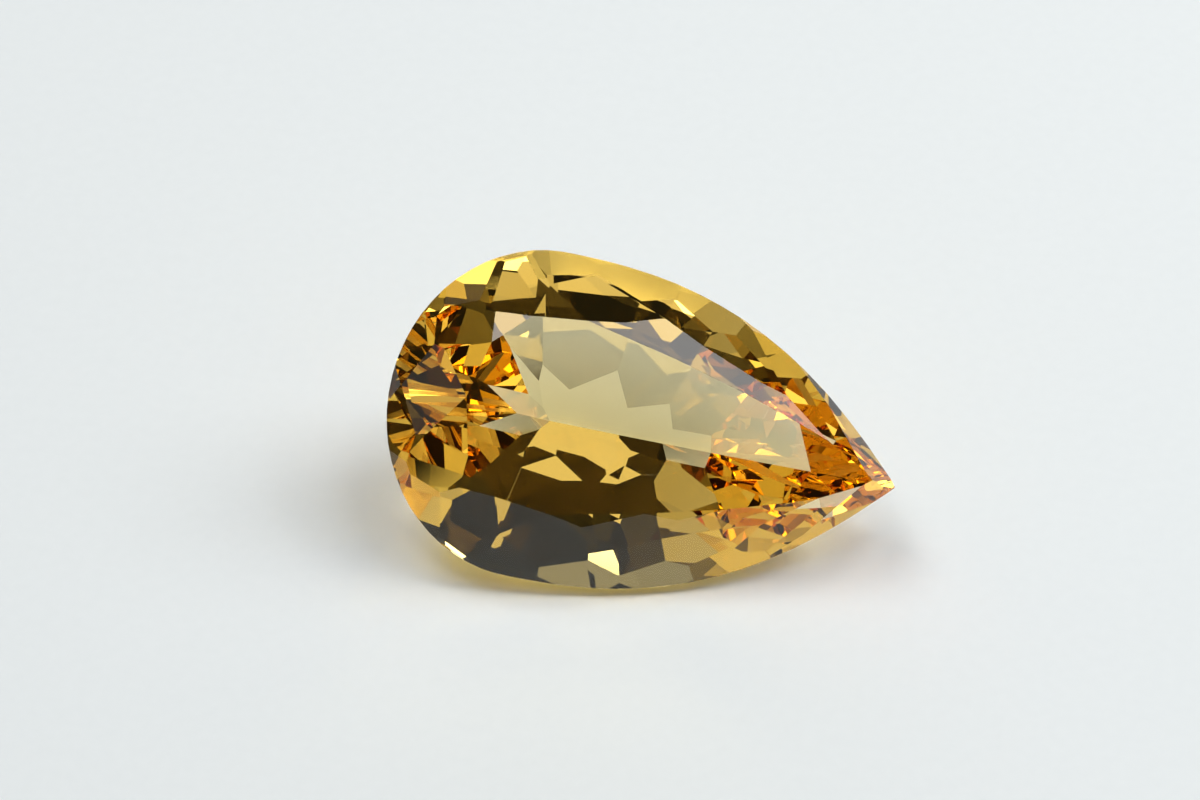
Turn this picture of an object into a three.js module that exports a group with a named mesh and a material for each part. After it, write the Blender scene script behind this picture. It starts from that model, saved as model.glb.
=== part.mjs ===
import * as THREE from 'three';

// A loose pear cut citrine: one clear golden stone, flat facets all over, lying
// on one of the facets of its underside so that its table leans to one side.
// Millimetres, +Z up. The origin is on the floor, below the middle of the
// stone's bounding box, and the stone's long axis runs along +X to its tip.
//
// The stone is cut in its own frame first: table facing +Z, girdle at Z = 0,
// tip to +X. It is then turned onto the facet that it lies on.

// Driving dimensions
const LENGTH = 25.0;
const WIDTH = 16.0;
const HEAD_SHARE = 0.292;
const WING_POWER = 2.45;
const CROWN_HEIGHT = 2.56;
const GIRDLE_THICKNESS = 0.32;
const WELD = 0.002;

const HALF_WIDTH = WIDTH / 2;
const HEAD_LENGTH = LENGTH * HEAD_SHARE;
const TIP_LENGTH = LENGTH - HEAD_LENGTH;
const GIRDLE_TOP = GIRDLE_THICKNESS / 2;

// Stations round half of the outline, from the back of the head (0) by the
// widest point (0.5) to the tip (1). At each of the eight main stations a kite
// facet runs from the table's corner outwards. heading is the way that the
// kite faces, in degrees from the tip's direction; slopes are from level, also
// that of the small break facet above the girdle.
const MAINS = [
  { at: 0.0, corner: [-3.55, 0.0], heading: 180, kite: 27.5, break: 54 },
  { at: 0.172, corner: [-2.9, 2.8], heading: 148.5, kite: 28, break: 52 },
  { at: 0.37, corner: [-1.2, 4.45], heading: 116.5, kite: 34, break: 52 },
  { at: 0.54, corner: [1.45, 4.75], heading: 86.5, kite: 34.5, break: 47 },
  { at: 0.678, corner: [5.95, 3.8], heading: 76.5, kite: 26, break: 46 },
  { at: 0.773, corner: [9.75, 2.8], heading: 74, kite: 27, break: 52 },
  { at: 0.862, corner: [12.9, 1.8], heading: 71, kite: 29, break: 62 },
  { at: 1.0, corner: [16.45, 0.5], heading: 0, kite: 62 },
];

// Between two mains: the star facet beside the table and the upper girdle
// facet under it.
const BETWEENS = [
  { at: 0.08, star: 22, upper: 44 },
  { at: 0.28, star: 22, upper: 42 },
  { at: 0.49, star: 28, upper: 40 },
  { at: 0.6, star: 23, upper: 39 },
  { at: 0.713, star: 24, upper: 38.5 },
  { at: 0.8, star: 26, upper: 47 },
  { at: 0.91, star: 28, upper: 64 },
];

// The four rows of the underside, from the girdle down: how steep each is, and
// the distance in from the outline and the depth below the girdle's middle
// that it passes through.
const FIRST_ROW = { slope: 55, inset: 0, depth: 0.16 };
const SECOND_ROW = { slope: 47, inset: 0, depth: 0.16 };
const THIRD_ROW = { slope: 42, inset: 2.4, depth: 2.64 };
const FOURTH_ROW = { slope: 39, inset: 4.0, depth: 4.24 };

// The girdle is ground round, in narrow facets evenly spread over the stations.
const GIRDLE_STEPS = 30;

// The main station whose third row facet, on the -Y side, the stone lies on.
const REST_STATION = 4;

const GOLD = 0xe8c060;

function radians(degrees) {
  return (degrees * Math.PI) / 180;
}

// A point of the upper half of the outline, with its outward direction.
function outline(at) {
  if (at <= 0.5) {
    const turn = Math.PI * (1 - at);
    const x = HEAD_LENGTH * Math.cos(turn);
    const y = HALF_WIDTH * Math.sin(turn);
    const out = new THREE.Vector2(x / HEAD_LENGTH ** 2, y / HALF_WIDTH ** 2);
    if (at === 0) {
      out.y = 0;
    }
    return { point: new THREE.Vector2(x, at === 0 ? 0 : y), out: out.normalize() };
  }
  const share = (at - 0.5) * 2;
  const slope = (HALF_WIDTH * WING_POWER * share ** (WING_POWER - 1)) / TIP_LENGTH;
  return {
    point: new THREE.Vector2(TIP_LENGTH * share, HALF_WIDTH * (1 - share ** WING_POWER)),
    out: new THREE.Vector2(slope, 1).normalize(),
  };
}

// One facet as a plane: it faces the level direction `out`, slopes down from
// level by `slope` degrees and holds the point. side is 1 above, -1 below.
function facet(out, slope, x, y, z, side) {
  const tilt = radians(slope);
  const normal = new THREE.Vector3(
    out.x * Math.sin(tilt),
    out.y * Math.sin(tilt),
    side * Math.cos(tilt),
  ).normalize();
  return { normal, reach: normal.dot(new THREE.Vector3(x, y, z)) };
}

// A facet and its mirror image across the long axis.
function bothSides(plane) {
  if (Math.abs(plane.normal.y) < 1e-9) {
    return [plane];
  }
  const mirrored = plane.normal.clone();
  mirrored.y = -mirrored.y;
  return [plane, { normal: mirrored, reach: plane.reach }];
}

// The narrow upright band round the stone.
function girdleFacets() {
  const steps = Array.from({ length: GIRDLE_STEPS }, (_, i) => i / GIRDLE_STEPS);
  return steps.flatMap((at) => {
    const { point, out } = outline(at);
    return bothSides(facet(out, 90, point.x, point.y, 0, 1));
  });
}

// The top: table, kites, stars, upper girdle facets and breaks.
function crownFacets() {
  const planes = [facet(new THREE.Vector2(1, 0), 0, 0, 0, CROWN_HEIGHT, 1)];
  for (const main of MAINS) {
    const turn = radians(main.heading);
    const out = new THREE.Vector2(Math.cos(turn), Math.sin(turn));
    if (Math.abs(out.y) < 1e-9) {
      out.y = 0;
    }
    const kite = facet(out, main.kite, ...main.corner, CROWN_HEIGHT, 1);
    planes.push(...bothSides(kite));
  }
  BETWEENS.forEach((between, i) => {
    const [ax, ay] = MAINS[i].corner;
    const [bx, by] = MAINS[i + 1].corner;
    const along = new THREE.Vector2(ay - by, bx - ax).normalize();
    planes.push(...bothSides(facet(along, between.star, ax, ay, CROWN_HEIGHT, 1)));
    const { point, out } = outline(between.at);
    planes.push(...bothSides(facet(out, between.upper, point.x, point.y, GIRDLE_TOP, 1)));
  });
  for (const main of MAINS.slice(0, -1)) {
    const { point, out } = outline(main.at);
    planes.push(...bothSides(facet(out, main.break, point.x, point.y, GIRDLE_TOP, 1)));
  }
  return planes;
}

// One row of facets of the underside, all equally steep, each passing the same
// depth at the same distance in from the outline.
function lowerRow(stations, row) {
  return stations.flatMap((station) => {
    const { point, out } = outline(station.at);
    const x = point.x - out.x * row.inset;
    const y = point.y - out.y * row.inset;
    return bothSides(facet(out, row.slope, x, y, -row.depth, -1));
  });
}

// The underside: four rows of facets, down to the keel line under the middle.
function pavilionFacets() {
  const mains = MAINS.slice(0, -1);
  return [
    ...lowerRow(mains, FIRST_ROW),
    ...lowerRow(BETWEENS, SECOND_ROW),
    ...lowerRow(mains, THIRD_ROW),
    ...lowerRow(BETWEENS, FOURTH_ROW),
  ];
}

// Cuts the part of a flat outline that lies beyond a plane.
function trim(loop, plane) {
  const kept = [];
  const heights = loop.map((p) => p.dot(plane.normal) - plane.reach);
  loop.forEach((a, i) => {
    const b = loop[(i + 1) % loop.length];
    const ha = heights[i];
    const hb = heights[(i + 1) % loop.length];
    if (ha <= 1e-9) {
      kept.push(a);
    }
    if ((ha > 1e-9) !== (hb > 1e-9) && Math.abs(ha - hb) > 1e-12) {
      kept.push(a.clone().lerp(b, ha / (ha - hb)));
    }
  });
  return kept;
}

// The polished outline of each facet, left by all the other planes.
function facetLoops(planes) {
  const loops = [];
  planes.forEach((plane, i) => {
    const aside = Math.abs(plane.normal.z) < 0.9 ? new THREE.Vector3(0, 0, 1) : new THREE.Vector3(1, 0, 0);
    const u = new THREE.Vector3().crossVectors(aside, plane.normal).normalize();
    const v = new THREE.Vector3().crossVectors(plane.normal, u);
    const middle = plane.normal.clone().multiplyScalar(plane.reach);
    const corners = [[-1, -1], [1, -1], [1, 1], [-1, 1]];
    let loop = corners.map(([a, b]) => middle.clone()
      .addScaledVector(u, a * LENGTH * 3)
      .addScaledVector(v, b * LENGTH * 3));
    planes.forEach((other, j) => {
      if (j !== i && loop.length > 2) {
        loop = trim(loop, other);
      }
    });
    if (loop.length > 2) {
      loops.push(loop);
    }
  });
  return loops;
}

// Joins corners that meet, so that neighbouring facets share them.
function weldLoops(loops) {
  const corners = [];
  const welded = loops.map((loop) => {
    const ids = loop.map((p) => {
      let id = corners.findIndex((q) => q.distanceTo(p) < WELD);
      if (id < 0) {
        id = corners.push(p.clone()) - 1;
      }
      return id;
    });
    return ids.filter((id, i) => id !== ids[(i + 1) % ids.length]);
  });
  return { corners, welded: welded.filter((ids) => ids.length > 2) };
}

// The turn that brings the stone onto the facet that it lies on, with its long
// axis over +X again.
function restingTurn() {
  const { out } = outline(MAINS[REST_STATION].at);
  const outward = new THREE.Vector2(out.x, -out.y);
  const down = facet(outward, THIRD_ROW.slope, 0, 0, 0, -1).normal;
  const lay = new THREE.Quaternion().setFromUnitVectors(down, new THREE.Vector3(0, 0, -1));
  const axis = new THREE.Vector3(1, 0, 0).applyQuaternion(lay);
  const swing = new THREE.Quaternion().setFromAxisAngle(
    new THREE.Vector3(0, 0, 1),
    -Math.atan2(axis.y, axis.x),
  );
  return swing.multiply(lay);
}

function stoneGeometry() {
  const planes = [...girdleFacets(), ...crownFacets(), ...pavilionFacets()];
  const { corners, welded } = weldLoops(facetLoops(planes));
  const turn = restingTurn();
  corners.forEach((p) => p.applyQuaternion(turn));
  const box = new THREE.Box3().setFromPoints(corners);
  const foot = new THREE.Vector3(
    (box.min.x + box.max.x) / 2,
    (box.min.y + box.max.y) / 2,
    box.min.z,
  );
  corners.forEach((p) => p.sub(foot));
  const positions = [];
  for (const ids of welded) {
    for (let i = 1; i < ids.length - 1; i += 1) {
      for (const id of [ids[0], ids[i], ids[i + 1]]) {
        positions.push(...corners[id].toArray());
      }
    }
  }
  const geometry = new THREE.BufferGeometry();
  geometry.setAttribute('position', new THREE.Float32BufferAttribute(positions, 3));
  geometry.computeVertexNormals();
  return geometry;
}

const citrine = new THREE.MeshStandardMaterial({ color: GOLD, roughness: 0.02, metalness: 0 });
const stone = new THREE.Mesh(stoneGeometry(), citrine);
stone.name = 'pear_cut_stone';

const model = new THREE.Group();
model.add(stone);

export default model;
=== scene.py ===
import math

import bpy
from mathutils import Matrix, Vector

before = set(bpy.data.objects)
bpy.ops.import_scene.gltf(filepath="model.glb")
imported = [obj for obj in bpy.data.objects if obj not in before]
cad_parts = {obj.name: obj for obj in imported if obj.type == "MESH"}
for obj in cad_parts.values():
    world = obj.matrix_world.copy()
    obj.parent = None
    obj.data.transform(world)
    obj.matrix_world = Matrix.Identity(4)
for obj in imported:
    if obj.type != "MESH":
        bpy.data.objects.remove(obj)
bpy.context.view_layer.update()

# The stone. One clear golden citrine in a pear cut, polished flat on every facet, with the
# narrow girdle round it left a little frosted. It is cut as one piece and lies loose on one
# facet of its underside, with its table leaning to the front.
STONE = "pear_cut_stone"
GIRDLE_CENTRE = Vector((-0.005129, -0.000009, 0.006152))
TABLE_DIRECTION = Vector((0.1211, -0.6581, 0.7431))
GIRDLE_HALF = 0.00017
QUARTZ_IOR = 1.55
GOLD_DEPTH = 100.0
GOLD_HUE = (0.95, 0.755, 0.0, 1.0)
ZONE_SCALE = 90.0
CLEAR_ZONE = (1.0, 1.0, 1.0, 1.0)
WARM_ZONE = (1.0, 0.99, 0.965, 1.0)
FROST_SCALE = 2600.0
FROST_LEAST = 0.24
FROST_SPREAD = 0.12


class Wire:
    """A node socket that takes part in Python sums."""

    def __init__(self, tree, socket):
        self.tree = tree
        self.socket = socket

    def maths(self, operation, *values):
        return add_node(self.tree, "ShaderNodeMath", {"operation": operation}, dict(enumerate(values)))

    def __add__(self, other):
        return self.maths("ADD", self, other)

    def __mul__(self, other):
        return self.maths("MULTIPLY", self, other)

    __radd__ = __add__
    __rmul__ = __mul__


def add_node(tree, kind, settings=None, values=None, output=0):
    """Adds a node, sets it, links or fills its inputs, and returns one output as a Wire."""
    node = tree.nodes.new(kind)
    for key, value in (settings or {}).items():
        setattr(node, key, value)
    for key, value in (values or {}).items():
        if isinstance(value, Wire):
            tree.links.new(value.socket, node.inputs[key])
        else:
            node.inputs[key].default_value = value
    return Wire(tree, node.outputs[output])


def new_material(name):
    """A material with an empty node tree and its output node."""
    material = bpy.data.materials.new(name)
    material.use_nodes = True
    tree = material.node_tree
    tree.nodes.clear()
    return material, tree, tree.nodes.new("ShaderNodeOutputMaterial")


citrine, tree, output = new_material("polished_citrine")
place = add_node(tree, "ShaderNodeTexCoord", output="Object")
offset = add_node(tree, "ShaderNodeVectorMath", {"operation": "SUBTRACT"}, {0: place, 1: GIRDLE_CENTRE})
height = add_node(
    tree,
    "ShaderNodeVectorMath",
    {"operation": "DOT_PRODUCT"},
    {0: offset, 1: TABLE_DIRECTION.normalized()},
    "Value",
)
girdle = height.maths("LESS_THAN", height.maths("ABSOLUTE", height), GIRDLE_HALF)
zones = add_node(tree, "ShaderNodeTexNoise", values={"Vector": place, "Scale": ZONE_SCALE})
frost = add_node(
    tree,
    "ShaderNodeTexNoise",
    values={"Vector": place, "Scale": FROST_SCALE, "Detail": 4.0},
)
tint = add_node(
    tree,
    "ShaderNodeMix",
    {"data_type": "RGBA"},
    {0: zones, 6: CLEAR_ZONE, 7: WARM_ZONE},
    2,
)
roughness = girdle * (FROST_LEAST + frost * FROST_SPREAD)
shader = add_node(
    tree,
    "ShaderNodeBsdfPrincipled",
    values={
        "Base Color": tint,
        "Roughness": roughness,
        "IOR": QUARTZ_IOR,
        "Transmission Weight": 1.0,
    },
)
depth = add_node(tree, "ShaderNodeVolumeAbsorption", values={"Color": GOLD_HUE, "Density": GOLD_DEPTH})
tree.links.new(shader.socket, output.inputs["Surface"])
tree.links.new(depth.socket, output.inputs["Volume"])
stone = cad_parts[STONE]
stone.data.materials.clear()
stone.data.materials.append(citrine)

# The surface that the stone lies on: a smooth matt white sheet with a faint grain, wider than
# any view. The stone rests on it by its own weight.
FLOOR_HALF = 1.5
FLOOR_GAP = 0.00002
GRAIN_SCALE = 1500.0
GRAIN_DARK = (0.77, 0.81, 0.815, 1.0)
GRAIN_PALE = (0.8, 0.84, 0.845, 1.0)
MATT = 0.7
floor_mesh = bpy.data.meshes.new("white_sheet")
floor_mesh.from_pydata(
    [
        (x * FLOOR_HALF, y * FLOOR_HALF, -FLOOR_GAP)
        for x, y in ((-1, -1), (1, -1), (1, 1), (-1, 1))
    ],
    [],
    [(0, 1, 2, 3)],
)
floor = bpy.data.objects.new("white_sheet", floor_mesh)
bpy.context.scene.collection.objects.link(floor)
white, tree, output = new_material("matt_white")
place = add_node(tree, "ShaderNodeTexCoord", output="Object")
grain = add_node(
    tree,
    "ShaderNodeTexNoise",
    values={"Vector": place, "Scale": GRAIN_SCALE, "Detail": 3.0},
)
shade = add_node(
    tree,
    "ShaderNodeMix",
    {"data_type": "RGBA"},
    {0: grain, 6: GRAIN_DARK, 7: GRAIN_PALE},
    2,
)
shader = add_node(tree, "ShaderNodeBsdfPrincipled", values={"Base Color": shade, "Roughness": MATT})
tree.links.new(shader.socket, output.inputs["Surface"])
floor_mesh.materials.append(white)

# The light: two softboxes overhead, to the left and the right, a wide dim one over the front of
# the stone, a lower one to the right, a low backlight, three dim cards and a dark room.
SOFTBOX_SIZE = (0.24, 0.24)
LEFT_PLACE = Vector((-0.18, 0.1, 0.45))
LEFT_POWER = 0.84
RIGHT_PLACE = Vector((0.2, 0.1, 0.44))
RIGHT_POWER = 0.82
LOW_PLACE = Vector((0.36, 0.12, 0.33))
LOW_POWER = 0.86
TOP_SIZE = (0.5, 0.25)
TOP_PLACE = Vector((0.0, -0.11, 0.45))
TOP_POWER = 0.36
BACKLIGHT_SIZE = (0.9, 0.16)
BACKLIGHT_PLACE = Vector((0.0, 0.5, 0.1))
BACKLIGHT_POWER = 0.8
LEFT_CARD_SIZE = (0.2, 0.12)
LEFT_CARD_PLACE = Vector((-0.38, -0.1, 0.31))
LEFT_CARD_POWER = 0.035
BACK_CARD_SIZE = (0.36, 0.12)
BACK_CARD_PLACE = Vector((-0.17, 0.3, 0.36))
BACK_CARD_POWER = 0.04
FRONT_CARD_SIZE = (0.24, 0.12)
FRONT_CARD_PLACE = Vector((0.3, -0.24, 0.32))
FRONT_CARD_POWER = 0.06
ROOM = 0.015
ROOM_TINT = (0.97, 1.0, 1.03, 1.0)


def add_softbox(name, place, size, power):
    """A rectangular white lamp that faces the stone."""
    lamp = bpy.data.lights.new(name, "AREA")
    lamp.shape = "RECTANGLE"
    lamp.size, lamp.size_y = size
    lamp.energy = power
    box = bpy.data.objects.new(name, lamp)
    bpy.context.scene.collection.objects.link(box)
    box.location = place
    box.rotation_euler = (-place).to_track_quat("-Z", "Y").to_euler()


add_softbox("left_softbox", LEFT_PLACE, SOFTBOX_SIZE, LEFT_POWER)
add_softbox("right_softbox", RIGHT_PLACE, SOFTBOX_SIZE, RIGHT_POWER)
add_softbox("low_softbox", LOW_PLACE, SOFTBOX_SIZE, LOW_POWER)
add_softbox("top_softbox", TOP_PLACE, TOP_SIZE, TOP_POWER)
add_softbox("backlight", BACKLIGHT_PLACE, BACKLIGHT_SIZE, BACKLIGHT_POWER)
add_softbox("left_card", LEFT_CARD_PLACE, LEFT_CARD_SIZE, LEFT_CARD_POWER)
add_softbox("back_card", BACK_CARD_PLACE, BACK_CARD_SIZE, BACK_CARD_POWER)
add_softbox("front_card", FRONT_CARD_PLACE, FRONT_CARD_SIZE, FRONT_CARD_POWER)
world = bpy.data.worlds.new("room")
world.use_nodes = True
sky = world.node_tree.nodes["Background"]
sky.inputs["Color"].default_value = ROOM_TINT
sky.inputs["Strength"].default_value = ROOM
bpy.context.scene.world = world

# The camera, a long lens in front of the stone that looks down on it.
AZIMUTH = math.radians(7.27)
ELEVATION = math.radians(45.0)
DISTANCE = 0.216
LENS = 133.2
STONE_MIDDLE = Vector((0.000082, -0.000009, 0.005303))
AIM_LEFT = 0.00214
AIM_UP = 0.00175
back = Vector(
    (
        math.sin(AZIMUTH) * math.cos(ELEVATION),
        -math.cos(AZIMUTH) * math.cos(ELEVATION),
        math.sin(ELEVATION),
    )
)
right = Vector((math.cos(AZIMUTH), math.sin(AZIMUTH), 0.0))
up = back.cross(right)
lens = bpy.data.cameras.new("camera")
lens.lens = LENS
lens.clip_start = 0.01
lens.clip_end = 10.0
camera = bpy.data.objects.new("camera", lens)
bpy.context.scene.collection.objects.link(camera)
camera.location = STONE_MIDDLE - right * AIM_LEFT + up * AIM_UP + back * DISTANCE
camera.rotation_euler = (-back).to_track_quat("-Z", "Y").to_euler()
scene = bpy.context.scene
scene.camera = camera
scene.view_settings.view_transform = "Standard"
scene.cycles.max_bounces = 32
scene.cycles.glossy_bounces = 24
scene.cycles.transmission_bounces = 32
scene.cycles.blur_glossy = 0.0
